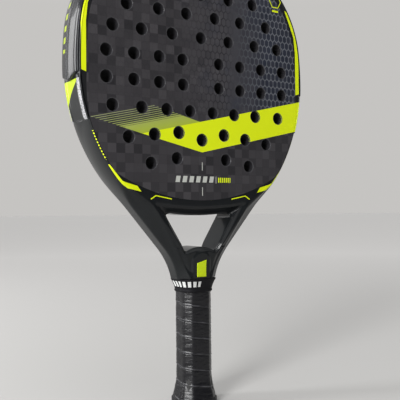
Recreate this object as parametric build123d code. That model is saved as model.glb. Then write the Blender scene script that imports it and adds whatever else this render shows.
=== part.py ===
from build123d import *
import math
import os

# Padel racket, millimetres. +Z runs up the racket from the butt, the front face
# looks along -Y, and the origin is the centre of the butt's end at mid-thickness.

# Overall
LENGTH = 455.0
WIDTH = 260.0
THICKNESS = 38.0
HALF_T = THICKNESS / 2

# Head protector: a C-shaped strip over the upper rim
BUMPER_T = 1.8
BUMPER_END_Z = 306.5
BUMPER_END_SLOPE = 0.3
BUMPER_GROOVE_HALF = 1.8
BUMPER_GROOVE_DEPTH = 0.9
BUMPER_EDGE_GAP = 0.6

# Scooped band on the rim's side between the protector's end and the lower tube
SCOOP_FOOT_Z = 270.5
SCOOP_DEPTH = 0.7

# Frame outline, right half: tangent arcs from the throat arm round to the top
HALF_W = WIDTH / 2 - BUMPER_T
WIDEST_Z = LENGTH - 132.8
LOWER_R = 169.0
ARM_ANGLE = 40.5
SIDE_R = 312.0
SIDE_TURN = 6.6
CORNER_R = 101.4
CORNER_TURN = 58.6
CREST = SIDE_TURN + CORNER_TURN

# Rim section
RIM_FLAT_HALF = 14.0
RIM_BEVEL = 2.4
RIM_DEPTH = 12.0
RIM_WALL = 2.6

# Faces and core
SKIN_T = 1.2
SKIN_MARGIN = 1.4
CORE_ARC_R = 180.0
CORE_BOTTOM_Z = 199.0
HOLE_R = 6.0
HOLE_EDGE = 0.4
HOLE_ROWS = [
    (421.0, [16.5, 47.5]),
    (400.0, [0.0, 33.0, 63.0]),
    (379.0, [16.5, 47.0, 80.0]),
    (357.5, [0.0, 32.5, 65.0, 94.3]),
    (334.0, [21.0, 46.5, 73.0, 100.5]),
    (310.0, [20.7, 46.4, 73.0, 100.5]),
    (285.0, [13.0, 38.7, 65.2, 94.8]),
]
LOWER_HOLES = [(0.0, 257.7), (26.0, 263.6), (52.1, 260.5), (78.8, 256.9), (28.1, 239.1), (56.0, 233.6)]

# Throat
SPLIT_Z = 214.0
YOKE_TOP_Z = 153.0
OPENING_TOP = (40.0, 187.0)
OPENING_SAG = 2.2
OPENING_FOOT = (19.0, YOKE_TOP_Z)
SADDLE_RISE = 2.0
SADDLE_HALF_Y = 14.0
OPENING_BEVEL = 3.0
OPENING_BEVEL_DEPTH = 4.0
TUBE_WALL = 4.0
TUBE_HALF_CAVITY = 14.0
BRIDGE_WALL = 3.0

# Neck yoke sections: height, half width, half thickness, corner radius
YOKE_SECTIONS = [
    (122.5, 20.4, 15.4, 8.0),
    (130.0, 22.4, 16.2, 7.0),
    (138.0, 26.6, 17.4, 6.0),
    (146.0, 31.8, 18.6, 5.0),
    (YOKE_TOP_Z, 36.6, HALF_T, 4.0),
]
YOKE_FOOT_Z = 122.5

# Badge on the neck, front and back
BADGE_HALF_W = 5.2
BADGE_FOOT_Z = 124.4
BADGE_LOW_TOP_Z = 138.0
BADGE_HIGH_TOP_Z = 140.8
BADGE_PROUD = 0.5

# Handle: half width, half thickness, corner radius
SHELL_SECTION = (13.0, 11.5, 7.0)
SHELL_WALL = 2.0
SHELL_FOOT_Z = 3.0
PLUG_FOOT_Z = 8.0
PLUG_TOP_Z = 138.0
BASE_GRIP_T = 2.0
OVERGRIP_T = 1.3
GRIP_TOP_Z = 119.0
OVERGRIP_TOP_Z = 121.0
FLARE_Z = 28.0
FLARE_MID_Z = 14.0
GRIP_FOOT_Z = 5.0
FLARE_MID = 2.4
FLARE_END = 4.2
TAPE_T = 0.4
TAPE_Z = (111.0, 120.0)
COLLAR_Z = (109.5, YOKE_FOOT_Z)
COLLAR_FOOT_GAP = 0.6
COLLAR_TOP_SECTION = (21.0, 17.6, 9.5)

# Butt cap
CAP_TOP_Z = 24.0
CAP_FLANGE = (20.6, 18.6, 12.5)
CAP_FLOOR = 3.0
CAP_EDGE_R = 1.8
CAP_LIP = 0.9
STRAP_HOLE_R = 4.0
BADGE_RING_R = 11.0
BADGE_RING_BORE_R = 6.0
BADGE_RING_T = 0.8
BADGE_RING_RECESS = 0.2

FRONT_PLANE = Plane.XZ


def arm_x(z, inset):
    """Half width of the straight arm at height z, moved in by inset."""
    angle = math.radians(ARM_ANGLE)
    end_x = HALF_W - LOWER_R + (LOWER_R - inset) * math.cos(angle)
    end_z = WIDEST_Z - (LOWER_R - inset) * math.sin(angle)
    return end_x - (end_z - z) * math.tan(angle)


def racket_face(inset, foot_z):
    """Frame outline moved in by inset, closed straight across at foot_z."""
    lower_centre = Vector(HALF_W - LOWER_R, WIDEST_Z)
    side_centre = Vector(HALF_W - SIDE_R, WIDEST_Z)
    corner_centre = side_centre + Vector(SIDE_R - CORNER_R, 0).rotate(Axis.Z, SIDE_TURN)
    top_r = CORNER_R + corner_centre.X / math.cos(math.radians(CREST))
    top_centre = corner_centre - Vector(top_r - CORNER_R, 0).rotate(Axis.Z, CREST)
    lower = CenterArc(lower_centre, LOWER_R - inset, -ARM_ANGLE, ARM_ANGLE)
    side = CenterArc(side_centre, SIDE_R - inset, 0, SIDE_TURN)
    corner = CenterArc(corner_centre, CORNER_R - inset, SIDE_TURN, CORNER_TURN)
    arm = Line((arm_x(foot_z, inset), foot_z), lower @ 0)
    right = Curve() + [arm, lower, side, corner]
    top = CenterArc(top_centre, top_r - inset, CREST, 180 - 2 * CREST)
    foot = Line((-arm_x(foot_z, inset), foot_z), (arm_x(foot_z, inset), foot_z))
    return make_face(Curve() + [right, top, mirror(right, about=Plane.YZ), foot])


def slab(face, half_y):
    """Prism of a front-view face, from -half_y to half_y."""
    return extrude(FRONT_PLANE * face, amount=half_y, both=True)


def layer(face, y_from, y_to):
    """Prism of a front-view face between two depths in front of mid-thickness."""
    return extrude(FRONT_PLANE.offset(y_from) * face, amount=y_to - y_from)


def bevelled(face, flat_half, full_half, bevel):
    """Prism whose front and back edges lean in by bevel."""
    lean = math.degrees(math.atan2(bevel, full_half - flat_half))
    front = extrude(FRONT_PLANE.offset(flat_half) * face, amount=full_half - flat_half, taper=lean)
    return slab(face, flat_half) + front + mirror(front, about=Plane.XZ)


def both_sides(solid):
    return solid + mirror(solid, about=Plane.YZ)


def block(x_half, z_low, z_high, y_half=100.0):
    return Pos(0, 0, (z_low + z_high) / 2) * Box(2 * x_half, 2 * y_half, z_high - z_low)


def half_space(side):
    """Everything on one side of the mid-plane X = 0."""
    return Pos(side * 200, 0, 250) * Box(400, 200, 600)


def rounded(section, z, grow=0.0):
    half_x, half_y, corner = section
    return Pos(0, 0, z) * RectangleRounded(2 * (half_x + grow), 2 * (half_y + grow), corner + grow)


def tube_of(section, z_low, z_high, grow=0.0):
    return extrude(rounded(section, z_low, grow), amount=z_high - z_low)


def throat_opening(grow):
    """Throat opening seen from the front, with its edges moved out by grow."""
    top_x = OPENING_TOP[0] + 1.4 * grow
    top_z = OPENING_TOP[1] + grow
    foot_x = OPENING_FOOT[0] + grow
    foot_z = YOKE_TOP_Z
    sagging_top = ThreePointArc((-top_x, top_z), (0, top_z - OPENING_SAG), (top_x, top_z))
    right = Line((top_x, top_z), (foot_x, foot_z))
    foot = Line((foot_x, foot_z), (-foot_x, foot_z))
    left = Line((-foot_x, foot_z), (-top_x, top_z))
    return make_face(Curve() + [sagging_top, right, foot, left])


# Front-view regions
core_disc = Pos(0, CORE_BOTTOM_Z + CORE_ARC_R) * Circle(CORE_ARC_R)
below_core = Pos(0, 180) * Rectangle(260, 160) - core_disc
core_face = racket_face(RIM_DEPTH, YOKE_TOP_Z) - below_core
skin_face = racket_face(RIM_BEVEL + SKIN_MARGIN, YOKE_TOP_Z) - below_core

opening_face = throat_opening(0)
split_x = arm_x(SPLIT_Z, RIM_DEPTH)
between_arms = make_face(
    Polyline(
        (-OPENING_FOOT[0], YOKE_TOP_Z),
        OPENING_FOOT,
        OPENING_TOP,
        (split_x, SPLIT_Z),
        (-split_x, SPLIT_Z),
        (-OPENING_TOP[0], OPENING_TOP[1]),
        (-OPENING_FOOT[0], YOKE_TOP_Z),
    )
)
arms_face = racket_face(0, YOKE_TOP_Z) - between_arms - Pos(0, SPLIT_Z + 200) * Rectangle(400, 400)
bridge_face = racket_face(RIM_DEPTH, YOKE_TOP_Z) - core_face - arms_face - opening_face

frame_body = bevelled(racket_face(0, YOKE_TOP_Z), RIM_FLAT_HALF, HALF_T, RIM_BEVEL)
opening_flat = HALF_T - OPENING_BEVEL_DEPTH
opening_mouth = loft(
    [
        FRONT_PLANE.offset(opening_flat) * opening_face,
        FRONT_PLANE.offset(HALF_T) * throat_opening(OPENING_BEVEL),
    ]
)
opening_cut = slab(opening_face, HALF_T) + opening_mouth + mirror(opening_mouth, about=Plane.XZ)


def hole_points():
    points = list(LOWER_HOLES)
    for z, offsets in HOLE_ROWS:
        points += [(x, z) for x in offsets]
    return sorted({(sign * x + 0.0, z) for x, z in points for sign in (-1, 1)})


def perforations():
    return [slab(Pos(x, z) * Circle(HOLE_R), HALF_T + 1) for x, z in hole_points()]


def make_foam_core():
    return slab(core_face, HALF_T - SKIN_T) - perforations()


def make_front_face():
    skin = layer(skin_face, HALF_T - SKIN_T, HALF_T) - perforations()
    hole_edges = skin.edges().filter_by(GeomType.CIRCLE).filter_by(lambda e: abs(e.radius - HOLE_R) < 0.01)
    outer_edges = hole_edges.filter_by(lambda e: e.center().Y < -HALF_T + SKIN_T / 2)
    return chamfer(outer_edges, HOLE_EDGE)


def protector_zone():
    """Space the protector fills in height; its ends are cut to a shallow V."""
    reach_y = 30
    tip_z = BUMPER_END_Z + BUMPER_END_SLOPE * reach_y
    top_z = LENGTH + reach_y
    outline = Polyline(
        (0, BUMPER_END_Z),
        (reach_y, tip_z),
        (reach_y, top_z),
        (-reach_y, top_z),
        (-reach_y, tip_z),
        (0, BUMPER_END_Z),
    )
    return extrude(Plane.YZ * make_face(outline), amount=WIDTH, both=True)


def make_head_tube():
    ring = frame_body - slab(core_face, HALF_T) - slab(bridge_face, HALF_T + 1)
    ring -= block(200, 0, SPLIT_Z)
    skins = layer(skin_face, HALF_T - SKIN_T, HALF_T + 1)
    ring = ring - skins - mirror(skins, about=Plane.XZ)
    scoop = slab(racket_face(-1, YOKE_TOP_Z) - racket_face(SCOOP_DEPTH, YOKE_TOP_Z), RIM_FLAT_HALF)
    scoop = scoop - block(200, 0, SCOOP_FOOT_Z) - protector_zone()
    cavity_face = racket_face(RIM_WALL, YOKE_TOP_Z) - racket_face(RIM_DEPTH - RIM_WALL, YOKE_TOP_Z)
    cavity = slab(cavity_face, RIM_FLAT_HALF) - block(200, 0, SPLIT_Z + RIM_WALL)
    return ring - scoop - cavity


def make_arm(side):
    arm = (frame_body & slab(arms_face, HALF_T + 1) & half_space(side)) - opening_cut
    foot_z = YOKE_TOP_Z + TUBE_WALL
    head_z = SPLIT_Z - TUBE_WALL
    outer_gap = TUBE_WALL / math.cos(math.radians(ARM_ANGLE))
    inner_slope = (OPENING_TOP[0] - OPENING_FOOT[0]) / (OPENING_TOP[1] - OPENING_FOOT[1])
    inner_foot = OPENING_FOOT[0] + TUBE_WALL * inner_slope + TUBE_WALL
    inner_head = split_x - TUBE_WALL * inner_slope + TUBE_WALL / 2
    cavity = make_face(
        Polyline(
            (inner_foot, foot_z),
            (arm_x(foot_z, 0) - outer_gap, foot_z),
            (arm_x(head_z, 0) - outer_gap, head_z),
            (inner_head, head_z),
            (OPENING_TOP[0] + TUBE_WALL, OPENING_TOP[1]),
            (inner_foot, foot_z),
        )
    )
    if side < 0:
        cavity = mirror(cavity, about=Plane.YZ)
    return arm - slab(cavity, TUBE_HALF_CAVITY)


def bridge_cavity():
    return slab(offset(bridge_face, -BRIDGE_WALL), TUBE_HALF_CAVITY)


def make_bridge():
    return slab(bridge_face, HALF_T) - opening_cut - bridge_cavity()


def yoke_body(grow):
    faces = [rounded((half_x, half_y, corner), z, grow) for z, half_x, half_y, corner in YOKE_SECTIONS]
    return loft(faces)


def make_yoke():
    saddle_arc = ThreePointArc(
        (-OPENING_FOOT[0], YOKE_TOP_Z),
        (0, YOKE_TOP_Z + SADDLE_RISE),
        OPENING_FOOT,
    )
    saddle_face = make_face(Curve() + [saddle_arc, Line(OPENING_FOOT, (-OPENING_FOOT[0], YOKE_TOP_Z))])
    yoke = yoke_body(0) + slab(saddle_face, SADDLE_HALF_Y)
    return yoke - tube_of(SHELL_SECTION, YOKE_FOOT_Z, PLUG_TOP_Z, -SHELL_WALL)


def make_badge():
    outline = make_face(
        Polyline(
            (-BADGE_HALF_W, BADGE_FOOT_Z),
            (BADGE_HALF_W, BADGE_FOOT_Z),
            (BADGE_HALF_W, BADGE_HIGH_TOP_Z),
            (-BADGE_HALF_W, BADGE_LOW_TOP_Z),
            (-BADGE_HALF_W, BADGE_FOOT_Z),
        )
    )
    return (yoke_body(BADGE_PROUD) & layer(outline, 5, 40)) - yoke_body(0)


def make_bumper():
    flat_half = RIM_FLAT_HALF + BUMPER_EDGE_GAP
    outer = bevelled(racket_face(-BUMPER_T, YOKE_TOP_Z), flat_half, HALF_T - BUMPER_EDGE_GAP, RIM_BEVEL)
    groove_bed = racket_face(BUMPER_GROOVE_DEPTH - BUMPER_T, YOKE_TOP_Z)
    groove = slab(racket_face(-10, YOKE_TOP_Z) - groove_bed, BUMPER_GROOVE_HALF)
    return (outer - frame_body - groove) & protector_zone()


def flared(section, grow, z_top):
    """Solid of the grip's outside: straight down to the flare, then widening to the butt."""
    straight = tube_of(section, FLARE_Z, z_top, grow)
    flare = loft(
        [
            rounded(section, FLARE_Z, grow),
            rounded(section, FLARE_MID_Z, grow + FLARE_MID),
            rounded(section, GRIP_FOOT_Z, grow + FLARE_END),
        ]
    )
    return straight + flare


def make_butt_cap():
    walls = loft(
        [
            rounded(SHELL_SECTION, CAP_TOP_Z, CAP_LIP),
            rounded(SHELL_SECTION, FLARE_MID_Z, FLARE_MID),
            rounded(SHELL_SECTION, GRIP_FOOT_Z, FLARE_END),
        ]
    )
    flange = extrude(rounded(CAP_FLANGE, 0), amount=GRIP_FOOT_Z)
    flange = fillet(flange.edges().group_by(Axis.Z)[0], CAP_EDGE_R)
    cap = walls + flange
    cap -= tube_of(SHELL_SECTION, CAP_FLOOR, CAP_TOP_Z)
    cap -= Cylinder(STRAP_HOLE_R, 4 * CAP_FLOOR)
    recess = BADGE_RING_T + BADGE_RING_RECESS
    return cap - Pos(0, 0, recess / 2) * Cylinder(BADGE_RING_R, recess)


def make_butt_ring():
    ring = Cylinder(BADGE_RING_R, BADGE_RING_T) - Cylinder(BADGE_RING_BORE_R, BADGE_RING_T)
    return Pos(0, 0, BADGE_RING_RECESS + BADGE_RING_T / 2) * ring


def make_handle_shell():
    outside = tube_of(SHELL_SECTION, SHELL_FOOT_Z, YOKE_FOOT_Z)
    return outside - tube_of(SHELL_SECTION, SHELL_FOOT_Z, YOKE_FOOT_Z, -SHELL_WALL)


def make_handle_plug():
    return tube_of(SHELL_SECTION, PLUG_FOOT_Z, PLUG_TOP_Z, -SHELL_WALL)


def make_base_grip(cap):
    inner = tube_of(SHELL_SECTION, 0, GRIP_TOP_Z)
    return flared(SHELL_SECTION, BASE_GRIP_T, GRIP_TOP_Z) - inner - cap


def make_overgrip(cap):
    outside = flared(SHELL_SECTION, BASE_GRIP_T + OVERGRIP_T, OVERGRIP_TOP_Z)
    inner = flared(SHELL_SECTION, BASE_GRIP_T, GRIP_TOP_Z)
    inner += tube_of(SHELL_SECTION, GRIP_TOP_Z, OVERGRIP_TOP_Z)
    return outside - inner - cap


def make_finishing_tape():
    grow = BASE_GRIP_T + OVERGRIP_T
    return tube_of(SHELL_SECTION, *TAPE_Z, grow + TAPE_T) - tube_of(SHELL_SECTION, *TAPE_Z, grow)


def make_collar():
    grow = BASE_GRIP_T + OVERGRIP_T + TAPE_T
    outside = loft([rounded(SHELL_SECTION, COLLAR_Z[0], grow + COLLAR_FOOT_GAP), rounded(COLLAR_TOP_SECTION, COLLAR_Z[1])])
    return outside - tube_of(SHELL_SECTION, *COLLAR_Z, grow)


front_face = make_front_face()
front_badge = make_badge()
butt_cap = make_butt_cap()

NODES = {
    "foam_core": make_foam_core(),
    "front_face": front_face,
    "back_face": mirror(front_face, about=Plane.XZ),
    "head_tube": make_head_tube(),
    "left_arm_tube": make_arm(-1),
    "right_arm_tube": make_arm(1),
    "throat_bridge": make_bridge(),
    "bridge_foam": bridge_cavity(),
    "neck_yoke": make_yoke(),
    "front_badge": front_badge,
    "back_badge": mirror(front_badge, about=Plane.XZ),
    "head_protector": make_bumper(),
    "handle_shell": make_handle_shell(),
    "handle_plug": make_handle_plug(),
    "butt_cap": butt_cap,
    "butt_ring": make_butt_ring(),
    "base_grip": make_base_grip(butt_cap),
    "overgrip": make_overgrip(butt_cap),
    "finishing_tape": make_finishing_tape(),
    "grip_collar": make_collar(),
}

os.makedirs("parts", exist_ok=True)
for name, shape in NODES.items():
    export_step(shape, f"parts/{name}.step")
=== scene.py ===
"""Looks of a padel racket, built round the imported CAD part.

Lengths are in millimetres until a mesh is made.
"""

import math

import bmesh
import bpy
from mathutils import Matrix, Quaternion, Vector, noise


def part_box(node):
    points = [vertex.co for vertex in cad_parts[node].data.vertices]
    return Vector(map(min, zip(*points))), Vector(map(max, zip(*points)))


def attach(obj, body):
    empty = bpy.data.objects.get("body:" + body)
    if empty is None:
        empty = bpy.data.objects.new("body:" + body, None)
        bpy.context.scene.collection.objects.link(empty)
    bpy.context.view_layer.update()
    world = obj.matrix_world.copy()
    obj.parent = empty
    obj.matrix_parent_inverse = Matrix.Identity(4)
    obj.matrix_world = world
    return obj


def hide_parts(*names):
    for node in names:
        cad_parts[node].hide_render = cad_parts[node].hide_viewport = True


MM = 0.001

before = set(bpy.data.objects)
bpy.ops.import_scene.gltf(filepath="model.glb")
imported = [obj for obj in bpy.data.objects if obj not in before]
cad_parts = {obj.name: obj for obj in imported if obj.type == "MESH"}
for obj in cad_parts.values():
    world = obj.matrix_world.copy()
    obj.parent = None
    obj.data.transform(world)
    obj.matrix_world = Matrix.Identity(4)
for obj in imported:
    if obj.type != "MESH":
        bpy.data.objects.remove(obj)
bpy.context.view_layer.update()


def node_box(name):
    low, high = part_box(name)
    return low / MM, high / MM


# Sizes read from the frame
HALF_T = node_box("back_face")[1].y
HALF_W = node_box("head_tube")[1].x
TOP_Z = node_box("head_protector")[1].z
YOKE_FOOT_Z = node_box("neck_yoke")[0].z
YOKE_TOP_Z = node_box("left_arm_tube")[0].z
GRIP_FOOT_Z = node_box("overgrip")[0].z
GRIP_TOP_Z = node_box("overgrip")[1].z
COLLAR_FOOT_Z = node_box("grip_collar")[0].z

# Frame outline, as in the CAD: tangent arcs from the throat arm round to the top
WIDEST_Z = TOP_Z - 132.8
LOWER_R = 169.0
ARM_ANGLE = math.radians(40.5)
SIDE_R = 312.0
SIDE_TURN = math.radians(6.6)
CORNER_R = 101.4
CORNER_TURN = math.radians(58.6)
CREST = SIDE_TURN + CORNER_TURN
LOWER_CENTRE_X = HALF_W - LOWER_R
ARM_END_X = LOWER_CENTRE_X + LOWER_R * math.cos(ARM_ANGLE)
ARM_END_Z = WIDEST_Z - LOWER_R * math.sin(ARM_ANGLE)
YOKE_FOOT_X = 21.8
CORE_ARC_R = 180.0
CORE_ARC_Z = 379.0

# Rim
SKIN_INSET = 3.8
SKIN_T = 1.2
PROTECTOR_END_Z = 306.5
PROTECTOR_END_SLOPE = 0.3
SCOOP_FOOT_Z = 270.5

# Throat opening
OPENING_TOP = (40.0, 187.0)
OPENING_FOOT = (17.2, 150.0)
OPENING_SAG = 2.2
SADDLE_RISE = 3.7
OPENING_EDGE = 1.2
LIP_R = 1.6


def mix(a, b, t):
    return a + (b - a) * t


def smoothstep(low, high, value):
    t = min(max((value - low) / (high - low), 0.0), 1.0)
    return t * t * (3 - 2 * t)


def soft_min(a, b, reach):
    t = max(reach - abs(a - b), 0.0) / reach
    return min(a, b) - t * t * reach / 4


def soft_max(a, b, reach):
    return -soft_min(-a, -b, reach)


# ---------------------------------------------------------------- meshes


class Patchwork:
    """Grids of quads, welded where their edges meet."""

    def __init__(self):
        self.points = []
        self.faces = []
        # Per-point weights for a painted highlight, stored on the mesh for its material
        self.lip_highlight = []

    def grid(self, rows, closed=False):
        start = len(self.points)
        width = len(rows[0])
        for row in rows:
            self.points += row
        across = width if closed else width - 1
        for r in range(len(rows) - 1):
            for c in range(across):
                a = start + r * width + c
                b = start + r * width + (c + 1) % width
                self.faces.append((a, b, b + width, a + width))

    def mirrored(self, axis):
        """Adds the mirror image of everything so far across X (0) or Y (1)."""
        start = len(self.points)
        flip = [(-1, 1, 1), (1, -1, 1)][axis]
        self.points += [(p[0] * flip[0], p[1] * flip[1], p[2]) for p in self.points[:start]]
        self.faces += [tuple(i + start for i in reversed(f)) for f in self.faces[:]]

    def build(self, name, material, weld=0.01):
        mesh = bpy.data.meshes.new(name)
        mesh.from_pydata([Vector(p) * MM for p in self.points], [], self.faces)
        # Stores the painted-highlight weights as a point attribute
        if self.lip_highlight:
            lip_highlight_layer = mesh.attributes.new("lip_highlight", "FLOAT", "POINT")
            lip_highlight_layer.data.foreach_set("value", self.lip_highlight)
        shape = bmesh.new()
        shape.from_mesh(mesh)
        bmesh.ops.remove_doubles(shape, verts=shape.verts, dist=weld * MM)
        bmesh.ops.dissolve_degenerate(shape, edges=shape.edges, dist=0.002 * MM)
        bmesh.ops.recalc_face_normals(shape, faces=shape.faces)
        shape.to_mesh(mesh)
        shape.free()
        mesh.shade_smooth()
        mesh.materials.append(material)
        piece = bpy.data.objects.new(name, mesh)
        bpy.context.scene.collection.objects.link(piece)
        return piece


def steps(count, start=0.0, end=1.0):
    return [start + (end - start) * i / count for i in range(count + 1)]


def coons(bottom, top, left, right):
    """Grid of (x, z) points between four sides that share their corners."""
    rows = []
    for j, v in enumerate(steps(len(left) - 1)):
        row = []
        for i, u in enumerate(steps(len(bottom) - 1)):
            point = []
            for k in (0, 1):
                sides = mix(bottom[i][k], top[i][k], v) + mix(left[j][k], right[j][k], u)
                corners = mix(mix(bottom[0][k], bottom[-1][k], u), mix(top[0][k], top[-1][k], u), v)
                point.append(sides - corners)
            row.append(tuple(point))
        rows.append(row)
    return rows


# ---------------------------------------------------------------- frame outline


def arm_x(z):
    return ARM_END_X - (ARM_END_Z - z) * math.tan(ARM_ANGLE)


def yoke_x(z):
    """Half width of the neck, flaring from the handle into the arms."""
    t = (z - YOKE_FOOT_Z) / (YOKE_TOP_Z - YOKE_FOOT_Z)
    height = YOKE_TOP_Z - YOKE_FOOT_Z
    start = (2 * t**3 - 3 * t**2 + 1) * YOKE_FOOT_X + (t**3 - 2 * t**2 + t) * 0.2 * height
    end = (3 * t**2 - 2 * t**3) * arm_x(YOKE_TOP_Z) + (t**3 - t**2) * math.tan(ARM_ANGLE) * height
    return start + end


def slanted(x, z, slope):
    """Outline point with its outward direction where the half width grows by slope per height."""
    length = math.hypot(1, slope)
    return (x, z, 1 / length, -slope / length)


def yoke_rows(count):
    rows = []
    for z in steps(count, YOKE_FOOT_Z, YOKE_TOP_Z):
        slope = (yoke_x(z + 0.1) - yoke_x(z - 0.1)) / 0.2
        rows.append(slanted(yoke_x(z), z, slope))
    return rows


def arm_rows(count, z_low, z_high):
    return [slanted(arm_x(z), z, math.tan(ARM_ANGLE)) for z in steps(count, z_low, z_high)]


def arc_rows(count, centre, radius, start, end):
    return [
        (centre[0] + radius * math.cos(a), centre[1] + radius * math.sin(a), math.cos(a), math.sin(a))
        for a in steps(count, start, end)
    ]


def head_rows(foot_angle, fineness=1.0):
    """Outline from the lower arc at foot_angle up to the top's middle."""
    side_centre = (HALF_W - SIDE_R, WIDEST_Z)
    reach = SIDE_R - CORNER_R
    corner_centre = (
        side_centre[0] + reach * math.cos(SIDE_TURN),
        side_centre[1] + reach * math.sin(SIDE_TURN),
    )
    top_r = CORNER_R + corner_centre[0] / math.cos(CREST)
    top_centre = (
        corner_centre[0] - (top_r - CORNER_R) * math.cos(CREST),
        corner_centre[1] - (top_r - CORNER_R) * math.sin(CREST),
    )
    lower = arc_rows(int(140 * fineness), (LOWER_CENTRE_X, WIDEST_Z), LOWER_R, foot_angle, 0)
    side = arc_rows(int(36 * fineness), side_centre, SIDE_R, 0, SIDE_TURN)
    corner = arc_rows(int(90 * fineness), corner_centre, CORNER_R, SIDE_TURN, CREST)
    top = arc_rows(int(50 * fineness), top_centre, top_r, CREST, math.pi / 2)
    return lower + side[1:] + corner[1:] + top[1:]


def inset_at(x, z):
    """How far a point of the throat lies inside the frame's outline."""
    if z < YOKE_TOP_Z:
        return (yoke_x(z) - x) * 0.85
    if z < ARM_END_Z + (ARM_END_X - x) * math.tan(ARM_ANGLE):
        return (arm_x(z) - x) * math.cos(ARM_ANGLE)
    return LOWER_R - math.hypot(x - LOWER_CENTRE_X, z - WIDEST_Z)


# ---------------------------------------------------------------- frame surface

# Half thickness where the planes beside the opening meet its side, top and saddle
SIDE_EDGE_T = 13.4
TOP_EDGE_T = 11.5
SADDLE_EDGE_T = 14.0
EDGE_BLEND = 1.4
RIDGE_RISE = 0.7
RIDGE_INSET = 8.0
HOLLOW_DEPTH = 1.3
TONGUE_HALF_W = 9.3
TONGUE_ARCH_Z = 138.7
NECK_FLARE = [(122.5, 16.0), (130.0, 15.9), (138.0, 16.3), (146.0, 17.6), (153.0, 19.0)]


def front_height(z):
    """Half thickness of the flat front at height z."""
    for (low, start), (high, end) in zip(NECK_FLARE, NECK_FLARE[1:]):
        if z < high:
            return mix(start, end, max(z - low, 0) / (high - low))
    return HALF_T


def edge_height(z):
    """Half thickness at the outline, before the front bevel rises from it."""
    return mix(mix(7.6, 8.6, smoothstep(122, 150, z)), 14.0, smoothstep(192, 226, z))


def bevel_width(z):
    return mix(mix(8.0, 12.2, smoothstep(122, 150, z)), 2.4, smoothstep(188, 222, z))


def opening_distances(x, z):
    """Signed distances outside the opening's side, top and saddle."""
    run = OPENING_TOP[0] - OPENING_FOOT[0]
    rise = OPENING_TOP[1] - OPENING_FOOT[1]
    side = ((x - OPENING_FOOT[0]) * rise - (z - OPENING_FOOT[1]) * run) / math.hypot(run, rise)
    across = min(x / OPENING_TOP[0], 1.2)
    top = z - (OPENING_TOP[1] - OPENING_SAG * (1 - across**2))
    low = min(x / OPENING_FOOT[0], 1.2)
    saddle = OPENING_FOOT[1] + SADDLE_RISE * (1 - low**2) - z
    return side, top, saddle


def surface(x, z):
    """Half thickness of the throat at a front-view point, x at or right of the middle."""
    flat = front_height(z)
    edge = edge_height(z)
    outer = edge + (flat - edge) * inset_at(x, z) / bevel_width(z)
    side, top, saddle = opening_distances(x, z)
    by_side = soft_min(SIDE_EDGE_T + 1.5 * side, 17.0 + 0.36 * side, 1.5)
    by_top = soft_min(TOP_EDGE_T + 1.05 * top, 30.0, 1.0)
    by_saddle = SADDLE_EDGE_T + 1.3 * saddle
    inner = soft_max(soft_max(by_side, by_top, 2.0), by_saddle, 2.0)
    height = soft_min(soft_min(outer, flat, EDGE_BLEND), inner, EDGE_BLEND)
    ridge = RIDGE_RISE * math.exp(-(((side - RIDGE_INSET) / 1.6) ** 2)) * smoothstep(138, 146, z)
    return height + ridge * (1 - smoothstep(190, 200, z)) - recess(x, z)


def recess(x, z):
    """The neck is sunk between the badge's arched tongue and the arms' ridges."""
    tongue = math.hypot(x, max(z - TONGUE_ARCH_Z, 0)) - TONGUE_HALF_W
    ridge = 12.0 + (z - YOKE_FOOT_Z) * 0.5 - x
    hollow = smoothstep(-0.6, 2.6, tongue) * smoothstep(-0.5, 3.0, ridge)
    return HOLLOW_DEPTH * hollow * smoothstep(YOKE_FOOT_Z, 130, z) * (1 - smoothstep(150, 157, z))


# Rim sections from the front land at the skin's edge round to mid-thickness: (inset, depth)
TUBE_SECTION = [
    (3.8, 19.0), (3.4, 18.98), (3.1, 18.85), (2.8, 18.6), (2.5, 18.2), (2.25, 17.7),
    (1.95, 16.8), (1.5, 15.0), (0.9, 12.0), (0.42, 8.4), (0.1, 4.2), (0.0, 0.0),
]
SCOOP_SECTION = [
    (3.0, 19.0), (2.4, 19.0), (2.1, 18.95), (1.9, 18.8), (1.78, 18.5), (1.68, 18.0),
    (1.6, 17.5), (0.35, 13.6), (0.6, 13.0), (0.75, 9.0), (0.8, 4.5), (0.8, 0.0),
]
COVERED_SECTION = [
    (3.8, 19.0), (3.3, 19.0), (2.85, 18.95), (2.5, 18.75), (2.3, 18.4), (1.95, 17.8),
    (1.4, 16.6), (0.9, 15.5), (0.4, 14.4), (0.1, 13.0), (0.0, 6.0), (0.0, 0.0),
]


def arm_section(z):
    edge = edge_height(z)
    slope = (front_height(z) - edge) / bevel_width(z)
    lands = [(n, edge + slope * n) for n in (3.8, 3.1, 2.4, 1.7, 1.1)]
    rounding = [(0.65, edge + 0.35 * slope), (0.3, edge - 0.35), (0.08, edge - 1.1), (0.0, edge - 2.2)]
    wall = [(0.0, 0.5 * edge), (0.0, 0.25 * edge), (0.0, 0.0)]
    return lands + rounding + wall


def rim_section(x, z):
    """The rim's half section at an outline point."""
    arm = arm_section(z)
    if x < YOKE_FOOT_X and z < 300:
        return arm
    tube_share = smoothstep(192, 226, z)
    scoop_share = smoothstep(SCOOP_FOOT_Z - 0.6, SCOOP_FOOT_Z + 0.6, z)
    covered_share = smoothstep(PROTECTOR_END_Z + 1.0, PROTECTOR_END_Z + 8.0, z)
    section = []
    for from_arm, tube, scoop, covered in zip(arm, TUBE_SECTION, SCOOP_SECTION, COVERED_SECTION):
        point = []
        for k in (0, 1):
            upper = mix(mix(tube[k], scoop[k], scoop_share), covered[k], covered_share)
            point.append(mix(from_arm[k], upper, tube_share))
        section.append(tuple(point))
    return section


def strip_row(outline_point, height):
    """The rim's half ring at an outline point; height, if known, is the throat's where it meets it."""
    x, z, nx, nz = outline_point
    section = rim_section(x, z)
    gap = 0.0 if height is None else height - section[0][1]
    row = []
    for k, (inset, depth) in enumerate(section):
        share = max(1 - k / 6, 0.0)
        row.append((x - inset * nx, -(depth + gap * share), z - inset * nz))
    return row


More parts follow.
